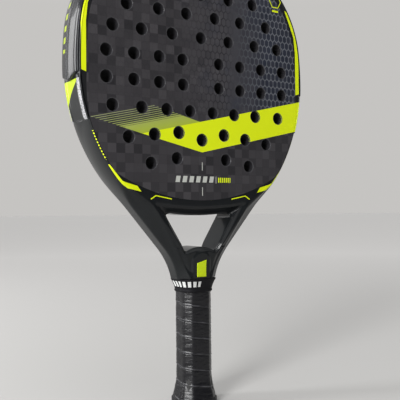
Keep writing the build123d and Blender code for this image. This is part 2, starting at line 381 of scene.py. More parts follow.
def land_point(outline_point):
    x, z, nx, nz = outline_point
    return (x - SKIN_INSET * nx, z - SKIN_INSET * nz)


def lip(row):
    """Carries a rim row's inner edge down behind the skin's thickness and inwards."""
    x, y, z = row[0]
    return [(x, y + SKIN_T, z), (x, y, z)]


def rounded_corner(before, corner, after, radius, count):
    """Points on the arc that rounds a corner of a polyline in the front view."""
    to_before = (Vector(before) - Vector(corner)).normalized()
    to_after = (Vector(after) - Vector(corner)).normalized()
    half = to_before.angle(to_after) / 2
    middle = Vector(corner) + (to_before + to_after).normalized() * radius / math.sin(half)
    reach = radius / math.tan(half)
    start = Vector(corner) + to_before * reach - middle
    end = Vector(corner) + to_after * reach - middle
    turn = start.angle_signed(end)
    points = []
    for t in steps(count):
        angle = -turn * t
        spun = (
            start.x * math.cos(angle) - start.y * math.sin(angle),
            start.x * math.sin(angle) + start.y * math.cos(angle),
        )
        points.append((middle.x + spun[0], middle.y + spun[1]))
    return points


CORNER_STEPS = 8
SIDE_STEPS = 26
CROSS_STEPS = 14


def opening_path(grow):
    """The opening's right half grown outwards: saddle, right side and top, from middle to middle."""
    run = OPENING_TOP[0] - OPENING_FOOT[0]
    rise = OPENING_TOP[1] - OPENING_FOOT[1]
    length = math.hypot(run, rise)
    tilt = run / rise
    side_shift = grow * length / rise
    foot_z = OPENING_FOOT[1] - grow
    top_z = OPENING_TOP[1] + grow
    foot = (OPENING_FOOT[0] + side_shift - grow * tilt, foot_z)
    top = (OPENING_TOP[0] + side_shift + grow * tilt, top_z)
    inside_foot = (0.0, foot_z + 0.6)
    inside_top = (0.0, top_z - 1.6)
    foot_arc = rounded_corner(inside_foot, foot, top, 3.0 + grow, CORNER_STEPS)
    top_arc = rounded_corner(foot, top, inside_top, 4.0 + grow, CORNER_STEPS)
    half = CORNER_STEPS // 2
    start, end = foot_arc[-1], top_arc[0]
    straight = [(mix(start[0], end[0], t), mix(start[1], end[1], t)) for t in steps(SIDE_STEPS)][1:-1]
    side = foot_arc[half:] + straight + top_arc[: half + 1]
    join, leave = foot_arc[0], top_arc[-1]
    saddle = []
    for t in steps(CROSS_STEPS)[:-1]:
        x = join[0] * t
        saddle.append((x, join[1] + SADDLE_RISE * (1 - t * t)))
    saddle += foot_arc[: half + 1]
    crown = top_arc[half:]
    for t in steps(CROSS_STEPS)[1:]:
        x = leave[0] * (1 - t)
        crown.append((x, leave[1] - OPENING_SAG * (1 - (1 - t) ** 2)))
    return saddle, side, crown


def between(start, end, count):
    return [(mix(start[0], end[0], t), mix(start[1], end[1], t)) for t in steps(count)]


def core_arc(x):
    return CORE_ARC_Z - math.sqrt(CORE_ARC_R**2 - x * x)


def lift(rows):
    """Front-view grid raised onto the throat's front surface."""
    return [[(x, -surface(max(x, 0.0), z), z) for x, z in row] for row in rows]


def make_frame_moulding(material):
    """Rim, arms, bridge and neck as the one moulding they are."""
    shape = Patchwork()
    saddle, side, crown = opening_path(OPENING_EDGE)
    across = 24

    yoke = yoke_rows(30)
    arm = arm_rows(len(side) - 1, YOKE_TOP_Z, OPENING_TOP[1])
    upper_arm = arm_rows(14, OPENING_TOP[1], ARM_END_Z)
    meet = math.asin((WIDEST_Z - 224.6) / (LOWER_R - SKIN_INSET))
    shoulder = arc_rows(12, (LOWER_CENTRE_X, WIDEST_Z), LOWER_R, -ARM_ANGLE, -meet)
    upper = upper_arm + shoulder[1:]
    head = head_rows(-meet)

    # Neck
    neck_right = [land_point(p) for p in yoke]
    neck_top = saddle + between(saddle[-1], neck_right[-1], across)[1:]
    foot = between((0.0, YOKE_FOOT_Z), neck_right[0], len(neck_top) - 1)
    neck_left = between((0.0, YOKE_FOOT_Z), saddle[0], len(neck_right) - 1)
    shape.grid(lift(coons(foot, neck_top, neck_left, neck_right)))

    # Arms beside the opening
    arm_right = [land_point(p) for p in arm]
    arm_foot = between(side[0], arm_right[0], across)
    arm_head = between(side[-1], arm_right[-1], across)
    shape.grid(lift(coons(arm_foot, arm_head, side, arm_right)))

    # Bridge and shoulders, up to the arc where the carbon face begins
    bridge_right = [land_point(p) for p in upper]
    bridge_foot = list(reversed(crown)) + arm_head[1:]
    end = bridge_right[-1]
    bridge_top = []
    for u in steps(len(bridge_foot) - 1):
        bridge_top.append((end[0] * u, mix(core_arc(end[0] * u), end[1], smoothstep(0.97, 1.0, u))))
    bridge_left = between(bridge_foot[0], bridge_top[0], len(bridge_right) - 1)
    shape.grid(lift(coons(bridge_foot, bridge_top, bridge_left, bridge_right)))

    # Outer rim
    throat = [strip_row(p, surface(*land_point(p))) for p in yoke + arm[1:] + upper[1:]]
    shape.grid(throat)
    crest = [strip_row(p, None) for p in head]
    crest[0] = throat[-1]
    shape.grid(crest)
    shape.grid([lip(row) for row in crest])

    # Opening's wall
    outer_path = saddle + side[1:] + crown[1:]
    inner = opening_path(0.0)
    inner_path = inner[0] + inner[1][1:] + inner[2][1:]
    wall = []
    for (ox, oz), (ix, iz) in zip(outer_path, inner_path):
        height = surface(max(ox, 0.0), oz)
        row = []
        for t in steps(5):
            a = t * math.pi / 2
            depth = height - LIP_R * (1 - math.cos(a))
            row.append((mix(ox, ix, math.sin(a)), -depth, mix(oz, iz, math.sin(a))))
        rest = height - LIP_R
        row += [(ix, -rest * s, iz) for s in (0.75, 0.5, 0.25, 0.0)]
        wall.append(row)
    shape.grid(wall)

    shape.mirrored(1)
    shape.mirrored(0)
    return shape.build("frame_moulding", material)


PROTECTOR_SECTION = [
    (2.2, 18.35), (1.5, 18.55), (0.9, 18.5), (0.5, 18.25), (0.2, 17.8), (-0.35, 16.7), (-0.85, 15.6),
    (-1.05, 15.0), (-1.18, 14.4), (-1.3, 13.6), (-1.56, 11.0), (-1.86, 8.0), (-2.14, 5.0), (-2.3, 3.4),
    (-2.28, 2.8), (-2.2, 2.3), (-2.08, 1.8), (-1.96, 1.2), (-1.9, 0.6), (-1.9, 0.0),
]


def make_protector(material):
    """Moulded strip over the upper rim, grooved along its middle, with slanted ends."""
    shape = Patchwork()
    low = math.asin((WIDEST_Z - PROTECTOR_END_Z) / LOWER_R)
    rows = head_rows(-low, 0.6)
    fade = 30
    grown = []
    for i, (x, z, nx, nz) in enumerate(rows):
        ring = []
        for inset, depth in PROTECTOR_SECTION:
            shift = PROTECTOR_END_SLOPE * depth * max(1 - i / fade, 0.0)
            shy = 0.55 * max(1 - i / 2, 0.0) if inset < 1 else 0.0
            sunk = inset + shy
            ring.append((x - sunk * nx, -depth, z - sunk * nz + shift))
        grown.append(ring)
    x, z, nx, nz = rows[0]
    bed = []
    for (inset, depth), point in zip(PROTECTOR_SECTION, grown[0]):
        sunk = max(inset, 2.2 * smoothstep(13.5, 19.0, depth) + 0.6)
        bed.append((x - sunk * nx, -depth, point[2] - 0.1))
    shape.grid([bed] + grown)
    shape.mirrored(1)
    shape.mirrored(0)
    return shape.build("protector_strip", material)


# ---------------------------------------------------------------- handle


def grip_point(t, half_x, half_y, corner):
    """Point and outward direction at share t of a rounded rectangle, from the front's middle."""
    flat_x = half_x - corner
    flat_y = half_y - corner
    quarter = corner * math.pi / 2
    spans = [flat_x, quarter, 2 * flat_y, quarter, 2 * flat_x, quarter, 2 * flat_y, quarter, flat_x]
    along = (t % 1.0) * sum(spans)
    heading = -math.pi / 2
    centres = [(flat_x, -flat_y), (flat_x, flat_y), (-flat_x, flat_y), (-flat_x, -flat_y)]
    point = (0.0, -half_y)
    for k, span in enumerate(spans):
        turning = k % 2 == 1
        done = min(along, span)
        if turning:
            heading_now = heading + done / corner
            cx, cy = centres[k // 2]
            point = (cx + corner * math.cos(heading_now), cy + corner * math.sin(heading_now))
            heading = heading_now
        else:
            point = (point[0] - math.sin(heading) * done, point[1] + math.cos(heading) * done)
        along -= done
        if along <= 0:
            break
    return point, (math.cos(heading), math.sin(heading))


SHELL = (13.0, 11.5, 7.0)
GRIP_GROW = 3.3
WRAP_PITCH = 15.5
FACET = math.radians(24)
WRAP_ROWS = 32
WRAP_COLUMNS = 96


def flare(z):
    """How far the grip widens towards the butt."""
    t = 1 - smoothstep(0.0, 30.0, z)
    return 4.6 * t**1.3


def wrap_profile(v):
    """Thickness of the wrap across one turn, v from its lower lip to the next one's."""
    lip_rise = 0.40 * math.exp(-((v - 0.04) ** 2) / 0.0009)
    pillow = 0.16 * math.sin(math.pi * v)
    seam = -0.45 if v > 0.96 else 0.0
    return lip_rise + pillow + seam


def facet_drop(nx, ny):
    """How far the handle's rounded corners are planed down to a flat at 45 degrees."""
    off = abs(math.atan2(abs(ny), abs(nx)) - math.pi / 4)
    if off > FACET:
        return 0.0
    return (SHELL[2] + GRIP_GROW) * (1 - math.cos(FACET) / math.cos(off))


def make_wrap(material):
    """Overgrip wound up the handle: each turn's lower lip lies over the turn below."""
    shape = Patchwork()
    turns = int((GRIP_TOP_Z - GRIP_FOOT_Z) / WRAP_PITCH) + 3
    first = GRIP_FOOT_Z - 2 * WRAP_PITCH - 3.1
    rows = []
    for j in range(turns * WRAP_ROWS + 1):
        row = []
        v = (j % WRAP_ROWS) / WRAP_ROWS
        for i in range(WRAP_COLUMNS + 1):
            t = i / WRAP_COLUMNS
            z = first + WRAP_PITCH * (j / WRAP_ROWS + t)
            inside = min(max(z, GRIP_FOOT_Z), GRIP_TOP_Z)
            (x, y), (nx, ny) = grip_point(-t, *SHELL)
            spot = Vector((x, y, inside))
            wrinkle = noise.noise(Vector((x * 0.12, y * 0.12, inside * 0.42)))
            crumple = 0.10 * noise.noise(spot * 0.16) + 0.16 * wrinkle
            grow = GRIP_GROW - 0.25 + wrap_profile(v) + crumple + flare(inside) - facet_drop(nx, ny)
            row.append((x + nx * grow, y + ny * grow, inside))
            # Weight of the painted highlight, largest on each turn's lower lip
            shape.lip_highlight.append(math.exp(-((v - 0.04) ** 2) / 0.0012))
        rows.append(row)
    shape.grid(rows)
    return shape.build("grip_wrap", material)


COLLAR_PROFILE = [
    (0.0, 0.0), (0.02, 0.45), (0.06, 0.72), (0.12, 0.78), (0.17, 0.55), (0.2, 0.42), (0.26, 0.5),
    (0.5, 1.4), (0.75, 2.9), (0.86, 3.8), (0.93, 4.4), (0.975, 4.5), (1.0, 4.2), (1.0, 0.6),
]


def make_collar(material):
    """Rubber collar that holds down the wrap's end and widens to the neck."""
    shape = Patchwork()
    count = 120
    top = node_box("grip_collar")[1].z
    rows = []
    for v, rise in COLLAR_PROFILE:
        row = []
        for i in range(count):
            (x, y), (nx, ny) = grip_point(i / count, *SHELL)
            z = mix(COLLAR_FOOT_Z, top, v)
            sway = 0.25 * noise.noise(Vector((x, y, 0.6 * z)) * 0.13)
            grow = GRIP_GROW + 0.25 + rise + sway * smoothstep(1.0, 0.8, v)
            row.append((x + nx * grow, y + ny * grow, z))
        rows.append(row)
    shape.grid(rows, closed=True)
    return shape.build("collar_band", material)


BADGE_HALF_W = 5.2
BADGE_FOOT_Z = 124.4
BADGE_LOW_TOP_Z = 138.0
BADGE_HIGH_TOP_Z = 140.8
BADGE_PROUD = (-0.3, 0.35, 0.55)
BADGE_EDGE = 0.22


def make_badge(name, material, facing):
    """Slant-topped plate that follows the neck's front (facing -1) or back (1)."""
    shape = Patchwork()
    shares = [0.0, 0.0] + steps(14) + [1.0, 1.0]
    last = len(shares) - 1
    rows = []
    for j, v in enumerate(shares):
        row = []
        for i, u in enumerate(shares):
            x = mix(-1, 1, u) * BADGE_HALF_W
            z = mix(BADGE_FOOT_Z, mix(BADGE_LOW_TOP_Z, BADGE_HIGH_TOP_Z, u), v)
            ring = min(i, j, last - i, last - j, 2)
            if ring == 2 and i in (2, last - 2):
                x -= math.copysign(BADGE_EDGE, x)
            if ring == 2 and j in (2, last - 2):
                z += BADGE_EDGE if j == 2 else -BADGE_EDGE
            row.append((-facing * x, facing * (surface(abs(x), z) + BADGE_PROUD[ring]), z))
        rows.append(row)
    shape.grid(rows)
    return shape.build(name, material)


HOLE_R = 6.0
HOLE_ROWS = [
    (421.0, [16.5, 47.5]),
    (400.0, [0.0, 33.0, 63.0]),
    (379.0, [16.5, 47.0, 80.0]),
    (357.5, [0.0, 32.5, 65.0, 94.3]),
    (334.0, [21.0, 46.5, 73.0, 100.5]),
    (310.0, [20.7, 46.4, 73.0, 100.5]),
    (285.0, [13.0, 38.7, 65.2, 94.8]),
]
LOWER_HOLES = [(0.0, 257.7), (26.0, 263.6), (52.1, 260.5), (78.8, 256.9), (28.1, 239.1), (56.0, 233.6)]
RIM_BEAD = [(-0.07, -0.8), (-0.04, -0.3), (0.04, -0.06), (0.15, 0.05), (0.28, 0.05), (0.4, -0.02)]


def hole_points():
    points = list(LOWER_HOLES)
    for z, offsets in HOLE_ROWS:
        points += [(x, z) for x in offsets]
    return sorted({(sign * x + 0.0, z) for x, z in points for sign in (-1, 1)})


def make_hole_rims(name, material, facing):
    """Bead of clear lacquer that gathers round each drilled hole."""
    shape = Patchwork()
    for hole_x, hole_z in hole_points():
        rows = []
        for spread, proud in RIM_BEAD:
            radius = HOLE_R + spread
            depth = facing * (HALF_T + proud)
            ring = [
                (hole_x + radius * math.cos(a), depth, hole_z + radius * math.sin(a))
                for a in steps(40, 0, 2 * math.pi)[:-1]
            ]
            rows.append(ring)
        shape.grid(rows, closed=True)
    return shape.build(name, material)


# ---------------------------------------------------------------- materials


class Field:
    """A number that varies over a surface, in one material's nodes."""

    def __init__(self, tree, socket):
        self.tree = tree
        self.socket = socket

    def op(self, kind, *others, first=None, clamp=False):
        node = self.tree.nodes.new("ShaderNodeMath")
        node.operation = kind
        node.use_clamp = clamp
        values = (self, *others) if first is None else (first, self)
        for slot, value in zip(node.inputs, values):
            if isinstance(value, Field):
                self.tree.links.new(value.socket, slot)
            else:
                slot.default_value = value
        return Field(self.tree, node.outputs[0])

    def __add__(self, other):
        return self.op("ADD", other)

    def __sub__(self, other):
        return self.op("SUBTRACT", other)

    def __rsub__(self, other):
        return self.op("SUBTRACT", first=other)

    def __mul__(self, other):
        return self.op("MULTIPLY", other)

    def __truediv__(self, other):
        return self.op("DIVIDE", other)

    def __abs__(self):
        return self.op("ABSOLUTE")

    def __gt__(self, other):
        return self.op("GREATER_THAN", other)

    def __lt__(self, other):
        return self.op("LESS_THAN", other)

    def least(self, other):
        return self.op("MINIMUM", other)

    def most(self, other):
        return self.op("MAXIMUM", other)

    def floor(self):
        return self.op("FLOOR")

    def part(self):
        return self.op("FRACT")

    def sine(self):
        return self.op("SINE")

    def root(self):
        return self.op("SQRT")

    def ramp(self, low, high):
        """0 at low, 1 at high, straight between."""
        return ((self - low) / (high - low)).op("ADD", 0.0, clamp=True)

    def within(self, low, high):
        return (self > low) * (self < high)


class Paint:
    """One procedural material: coordinates in millimetres, and helpers for patterns."""

    def __init__(self, name, roughness, coat=0.0, coat_roughness=0.1, specular=0.3):
        self.material = bpy.data.materials.new(name)
        self.material.use_nodes = True
        self.tree = self.material.node_tree
        self.shader = self.tree.nodes["Principled BSDF"]
        self.shader.inputs["Roughness"].default_value = roughness
        self.shader.inputs["Specular IOR Level"].default_value = specular
        self.shader.inputs["Coat Weight"].default_value = coat
        self.shader.inputs["Coat Roughness"].default_value = coat_roughness
        self.coordinates = self.tree.nodes.new("ShaderNodeTexCoord").outputs["Object"]
        split = self.tree.nodes.new("ShaderNodeSeparateXYZ")
        self.tree.links.new(self.coordinates, split.inputs[0])
        self.x, self.y, self.z = (Field(self.tree, split.outputs[k]) / MM for k in range(3))

    def vector(self, *parts):
        node = self.tree.nodes.new("ShaderNodeCombineXYZ")
        for slot, value in zip(node.inputs, parts):
            if isinstance(value, Field):
                self.tree.links.new(value.socket, slot)
            else:
                slot.default_value = value
        return node.outputs[0]

    def grain(self, size, stretch=(1, 1, 1), detail=3.0):
        """Smooth noise from 0 to 1 with features about size millimetres across."""
        node = self.tree.nodes.new("ShaderNodeTexNoise")
        node.inputs["Scale"].default_value = 1.0
        node.inputs["Detail"].default_value = detail
        place = [axis * (s / size) for axis, s in zip((self.x, self.y, self.z), stretch)]
        self.tree.links.new(self.vector(*place), node.inputs["Vector"])
        return Field(self.tree, node.outputs["Fac"])

    def dice(self, i, j):
        """Random number from 0 to 1 for each cell of a grid."""
        node = self.tree.nodes.new("ShaderNodeTexWhiteNoise")
        node.noise_dimensions = "2D"
        self.tree.links.new(self.vector(i, j, 0.0), node.inputs["Vector"])
        return Field(self.tree, node.outputs["Value"])

    def attribute(self, name):
        node = self.tree.nodes.new("ShaderNodeAttribute")
        node.attribute_name = name
        return Field(self.tree, node.outputs["Fac"])

    def blend(self, a, b, share):
        """Colour a where share is 0 and b where it is 1."""
        node = self.tree.nodes.new("ShaderNodeMix")
        node.data_type = "RGBA"
        self.tree.links.new(share.socket, node.inputs[0])
        for slot, colour in ((node.inputs[6], a), (node.inputs[7], b)):
            if isinstance(colour, tuple):
                slot.default_value = (*colour, 1.0)
            else:
                self.tree.links.new(colour, slot)
        return node.outputs[2]

    def finish(self, colour=None, roughness=None, bump=None, strength=0.3, depth=0.1):
        """Feeds the shader; depth is the bump's height in millimetres."""
        inputs = self.shader.inputs
        if isinstance(colour, tuple):
            inputs["Base Color"].default_value = (*colour, 1.0)
        elif colour is not None:
            self.tree.links.new(colour, inputs["Base Color"])
        if roughness is not None:
            self.tree.links.new(roughness.socket, inputs["Roughness"])
        if bump is not None:
            node = self.tree.nodes.new("ShaderNodeBump")
            node.inputs["Strength"].default_value = strength
            node.inputs["Distance"].default_value = depth * MM
            self.tree.links.new(bump.socket, node.inputs["Height"])
            self.tree.links.new(node.outputs[0], inputs["Normal"])
        return self.material

    def inside(self, x, z, points):
        """1 within a convex outline whose points run either way round."""
        twice_area = 0.0
        for (ax, az), (bx, bz) in zip(points, points[1:] + points[:1]):
            twice_area += ax * bz - bx * az
        turn = math.copysign(1.0, twice_area)
        nearest = None
        for (ax, az), (bx, bz) in zip(points, points[1:] + points[:1]):
            length = math.hypot(bx - ax, bz - az) * turn
            across, up = -(bz - az) / length, (bx - ax) / length
            distance = x * across + z * up - (ax * across + az * up)
            nearest = distance if nearest is None else nearest.least(distance)
        return nearest > 0.0


# Printed graphics, in front-view millimetres
BRIGHT = (0.60, 0.70, 0.004)
PALE = (0.42, 0.43, 0.40)
BAND_LOW_Z = 245.7
BAND_LOW_SLOPE = 0.228
BAND_HIGH_Z = 275.8
BAND_HIGH_SLOPE = 0.2328
SIDE_STRIPE = [
    [(119.7, 312.0), (124.4, 313.6), (124.3, 357.2), (119.6, 357.0)],
    [(119.6, 357.0), (124.3, 357.2), (122.2, 373.5), (117.8, 373.5)],
    [(117.8, 373.5), (122.2, 373.5), (115.2, 389.9), (110.6, 389.9)],
    [(110.6, 389.9), (115.2, 389.9), (109.4, 399.8), (105.6, 400.9)],
]
CORNER_MARK = [
    [(99.6, 231.3), (97.9, 231.0), (85.7, 216.8), (86.6, 214.4)],
    [(86.6, 214.4), (85.7, 216.8), (82.2, 215.3), (82.2, 210.4)],
    [(82.2, 210.4), (82.2, 215.3), (70.5, 212.2), (66.4, 206.9)],
]
THROAT_MARK = [
    [(57.2, 200.5), (56.4, 199.6), (51.3, 202.9), (51.6, 203.9)],
    [(51.6, 203.9), (51.3, 202.9), (34.3, 199.7), (34.5, 200.7)],
]
OLIVE_ZONE = [(-117.9, 273.1), (-65.0, 260.5), (-1.0, 275.6), (-30.1, 282.3), (-52.2, 287.8)]


def distance(paint, x, centre_x, centre_z):
    across = x - centre_x
    up = paint.z - centre_z
    return (across * across + up * up).root()


def edge_inset(paint):
    """How far inside the head's outline a point lies, by the lower arc and then the corner arc."""
    out = abs(paint.x)
    reach = SIDE_R - CORNER_R
    corner_x = HALF_W - SIDE_R + reach * math.cos(SIDE_TURN)
    corner_z = WIDEST_Z + reach * math.sin(SIDE_TURN)
    lower = LOWER_R - distance(paint, out, LOWER_CENTRE_X, WIDEST_Z)
    upper = CORNER_R - distance(paint, out, corner_x, corner_z)
    high = paint.z > WIDEST_Z + SIDE_R * math.sin(SIDE_TURN) / 2
    return lower * (1.0 - high) + upper * high


def black_margin(paint):
    """Plain lacquer between the rim and the weave, as wide as the side stripes beside them."""
    width = paint.z.ramp(266.0, 312.0) * 5.6 + 3.0
    wide = edge_inset(paint) < width
    crown = (abs(paint.x) < 84.0) * (paint.z > 400.0)
    return wide * (1.0 - crown)


EMBLEM = (93.0, 409.0)
RIM_BRIGHT = (0.40, 0.52, 0.006)


def front_prints(paint):
    """Prints of front and back: own-side x, bright, olive and pale masks, height above the band."""
    facing = 1.0 - (paint.y > 0.0) * 2.0
    x = paint.x * facing
    z = paint.z
    out = abs(x)
    flat = abs(paint.y) > 17.6

    low = z - (out * BAND_LOW_SLOPE + BAND_LOW_Z)
    high = x * BAND_HIGH_SLOPE + BAND_HIGH_Z - z
    bright = (low > 0.0) * (high > 0.0)
    for polygon in SIDE_STRIPE + CORNER_MARK + THROAT_MARK:
        bright = bright.most(paint.inside(out, z, polygon))

    inset = LOWER_R - distance(paint, out, LOWER_CENTRE_X, WIDEST_Z)
    ticks = ((z / 2.6).part() < 0.55) * inset.within(2.3, 2.95) * z.within(235.3, 260.9)
    small_bars = ((x / 2.3).part() < 0.6) * x.within(18.4, 33.2) * z.within(216.6, 221.4)
    dx = abs(x - EMBLEM[0])
    up = abs(z - EMBLEM[1])
    hexagon = (dx * 0.866 + up * 0.5).most(up)
    emblem = hexagon.within(6.0, 6.9).most(dx.within(-1.0, 4.0) * (abs(z - EMBLEM[1] + 10.5) < 1.0))
    bright = bright.most(ticks).most(small_bars).most(emblem) * flat

    rise = high * -0.974
    lines = (rise / 1.9).part() < (1.0 - rise.ramp(8.0, 13.0) * 0.72)
    olive = paint.inside(x, z, OLIVE_ZONE) * lines * flat

    seam = (out < 0.4) * z.within(228.0, 235.9).most(z.within(203.4, 211.7))
    lean = x - (z - 216.0) * 0.2
    bars = ((lean / 7.6).part() < 0.62) * lean.within(-33.0, 12.6) * z.within(216.4, 222.4)
    divider = x.within(15.6, 16.2) * z.within(215.6, 222.4)
    pale = seam.most(bars).most(divider) * flat
    return x, bright, olive, pale, rise


def rim_prints(paint):
    """Bright and pale marks on the rim's side."""
    out = abs(paint.x)
    y, z = paint.y, paint.z
    side = out > 60.0
    curve = z.ramp(276.0, 305.0).op("POWER", 1.8)
    wedge = (y > 18.0 - curve * 32.0) * z.within(276.0, 306.6) * (out > 118.0)
    inset = LOWER_R - distance(paint, out, LOWER_CENTRE_X, WIDEST_Z)
    edge = inset.within(0.0, 3.4)
    tail = edge * y.within(15.6, 18.2) * z.within(202.0, 215.6)
    dashes = edge * y.within(16.4, 17.5) * z.within(217.0, 250.0) * ((z / 2.9).part() < 0.55)
    return wedge.most(tail * side), dashes * side


def scoop_painted_highlight(paint):
    """Painted highlight: coarse pale speckle along the front facet of the scoop below the protector,
    standing for the lamp's reflection in the glossy bevel.
    """
    height = paint.z.within(SCOOP_FOOT_Z, PROTECTOR_END_Z)
    facet = abs(paint.y).within(13.4, 17.4) * height * (abs(paint.x) > 90.0)
    return facet * paint.grain(0.7, stretch=(1, 1, 0.5)).ramp(0.3, 0.62)


def make_lacquer():
    """Satin black lacquer of the frame, with its share of the prints and a painted highlight along the
    scoop.
    """
    paint = Paint("frame_lacquer", roughness=0.34, coat=0.42, coat_roughness=0.12, specular=0.08)
    _, bright, olive, pale, _ = front_prints(paint)
    wedge, dashes = rim_prints(paint)
    cloud = paint.grain(22.0)
    speck = paint.grain(0.5)
    colour = paint.blend((0.0045, 0.0052, 0.0062), (0.0085, 0.0100, 0.0108), cloud)
    colour = paint.blend(colour, (0.26, 0.33, 0.02), olive)
    # Painted highlight: pale grey speckle on the scoop's front facet
    colour = paint.blend(colour, (0.48, 0.48, 0.50), scoop_painted_highlight(paint))
    colour = paint.blend(colour, PALE, pale.most(dashes))
    colour = paint.blend(colour, BRIGHT, bright)
    colour = paint.blend(colour, RIM_BRIGHT, wedge)
    roughness = cloud * 0.12 + speck * 0.08 + 0.24
    return paint.finish(colour, roughness, speck, strength=0.12, depth=0.02)


CHECK = 8.7
HEX_WIDTH = 5.4
HEX_STRETCH = 0.67


def honeycomb(paint, x, z):
    """Distance from each cell's edge, 0 on the outline to 0.5 in the middle, in cell widths."""
    u = x / HEX_WIDTH
    v = z * (HEX_STRETCH / HEX_WIDTH)
    row = math.sqrt(3)
    a_u = u.part() - 0.5
    a_v = ((v / row).part() - 0.5) * row
    b_u = (u - 0.5).part() - 0.5
    b_v = ((v / row - 0.5).part() - 0.5) * row
    a_far = a_u * a_u + a_v * a_v
    b_far = b_u * b_u + b_v * b_v
    pick = a_far < b_far
    near_u = abs(a_u * pick + b_u * (1.0 - pick))
    near_v = abs(a_v * pick + b_v * (1.0 - pick))
    slant = near_u * 0.5 + near_v * (row / 2)
    return 0.5 - near_u.most(slant)


def make_carbon():
    """Clear-lacquered wide-tow carbon weave under a honeycomb relief, with the face's prints."""
    paint = Paint("carbon_face", roughness=0.42, coat=0.45, coat_roughness=0.14, specular=0.2)
    x, bright, olive, pale, rise = front_prints(paint)
    z = paint.z
    across = x / CHECK + 0.5
    up = z / CHECK + 0.2
    i, j = across.floor(), up.floor()
    over = ((i + j) / 2.0).part() * 2.0
    luck = paint.dice(i, j)
    tone = over * 0.3 + luck * 0.55 + 0.1
    weave = paint.blend((0.013, 0.0125, 0.0145), (0.047, 0.044, 0.048), tone)
    fibre = ((across * over + up * (1.0 - over)) * (CHECK * 9.0)).sine() * 0.5 + 0.5
    edge_u = abs(across.part() - 0.5)
    edge_v = abs(up.part() - 0.5)
    gap = (edge_u.most(edge_v)) > 0.485
    weave = paint.blend(weave, (0.016, 0.015, 0.017), gap * 0.6)

    margin = honeycomb(paint, x, z)
    spread = x.ramp(-34.0, 30.0) * z.ramp(266.0, 296.0)
    faint = z.ramp(276.0, 300.0) * 0.16
    relief = spread.most(faint)
    dark_side = x.ramp(26.0, 82.0)
    cell = paint.blend((0.050, 0.048, 0.054), (0.013, 0.017, 0.030), dark_side)
    cell = paint.blend(cell, (0.016, 0.022, 0.040), paint.grain(26.0).ramp(0.52, 0.72) * 0.6)
    colour = paint.blend(weave, cell, spread * 0.75)
    line_tone = paint.blend((0.008, 0.008, 0.010), (0.115, 0.122, 0.138), dark_side)
    line = (margin < 0.075) * relief
    colour = paint.blend(colour, line_tone, line * 0.85)
    colour = paint.blend(colour, (0.006, 0.0065, 0.0075), black_margin(paint))

    glow = 1.0 - rise.ramp(0.0, 24.0)
    ink = paint.blend((0.30, 0.33, 0.16), (0.36, 0.44, 0.035), glow)
    colour = paint.blend(colour, ink, olive * 0.85)
    colour = paint.blend(colour, PALE, pale)
    colour = paint.blend(colour, BRIGHT, bright)
    height = margin.ramp(0.0, 0.12) * relief * -1.0 + fibre * 0.04 + over * 0.1
    roughness = luck * 0.10 + fibre * 0.04 + 0.34
    return paint.finish(colour, roughness, height, strength=0.35, depth=0.12)


def make_protector_paint():
    """Glossy hard plastic with fine scuffs and generic blocks along its back half."""
    paint = Paint("protector", roughness=0.22, coat=0.24, coat_roughness=0.04, specular=0.16)
    scuff = paint.grain(1.6, stretch=(1, 1, 0.12))
    cloud = paint.grain(14.0)
    blocks = ((paint.z / 11.0).part() < 0.5) * paint.z.within(332.0, 382.0) * paint.y.within(4.5, 11.0)
    tone = paint.blend((0.008, 0.0085, 0.010), (0.016, 0.017, 0.020), cloud)
    colour = paint.blend(tone, (0.34, 0.43, 0.01), blocks)
    return paint.finish(colour, scuff * 0.16 + 0.12, scuff, strength=0.08, depth=0.03)


def make_grip_paint():
    """Shiny tacky polyurethane, finely grained and creased along the wrap, with a painted highlight along
    each turn's lip.
    """
    paint = Paint("overgrip", roughness=0.34, coat=0.0, coat_roughness=0.16, specular=0.38)
    creases = paint.grain(4.2, stretch=(0.5, 0.5, 1.6), detail=5.0)
    colour = paint.blend((0.002, 0.002, 0.003), (0.0055, 0.0055, 0.0075), creases)
    # Painted highlight: each turn's lip lightened to grey, broken up by the creases, where its edge catches
    # the light
    colour = paint.blend(colour, (0.060, 0.060, 0.066), paint.attribute("lip_highlight") * creases.ramp(0.35, 0.6))
    return paint.finish(colour, creases * 0.2 + 0.2, creases, strength=0.7, depth=0.7)


def make_collar_paint():
    """Matt rubber with generic pale blocks round its front."""
    paint = Paint("collar", roughness=0.6, specular=0.08)
    grain = paint.grain(0.6)
    turn = paint.x.op("ARCTAN2", paint.y * -1.0)
    blocks = ((turn / 0.27).part() < 0.6) * turn.within(-1.9, -0.1) * paint.z.within(114.8, 120.4)
    colour = paint.blend((0.006, 0.006, 0.007), (0.011, 0.011, 0.013), paint.grain(6.0))
    colour = paint.blend(colour, (0.62, 0.63, 0.62), blocks)
    return paint.finish(colour, grain * 0.2 + 0.42, grain, strength=0.3, depth=0.05)


def make_badge_paint():
    paint = Paint("badge", roughness=0.35, coat=0.2, coat_roughness=0.1, specular=0.2)
    grain = paint.grain(0.4)
    colour = paint.blend((0.43, 0.54, 0.003), (0.48, 0.61, 0.004), paint.grain(4.0))
    return paint.finish(colour, grain * 0.15 + 0.28, grain, strength=0.1, depth=0.03)


def make_foam_paint():
    """Black closed-cell EVA foam, seen inside the holes."""
    paint = Paint("eva_foam", roughness=0.9)
    cells = paint.grain(0.7, detail=2.0)
    colour = paint.blend((0.006, 0.006, 0.008), (0.016, 0.015, 0.018), cells)
    return paint.finish(colour, None, cells, strength=0.5, depth=0.15)


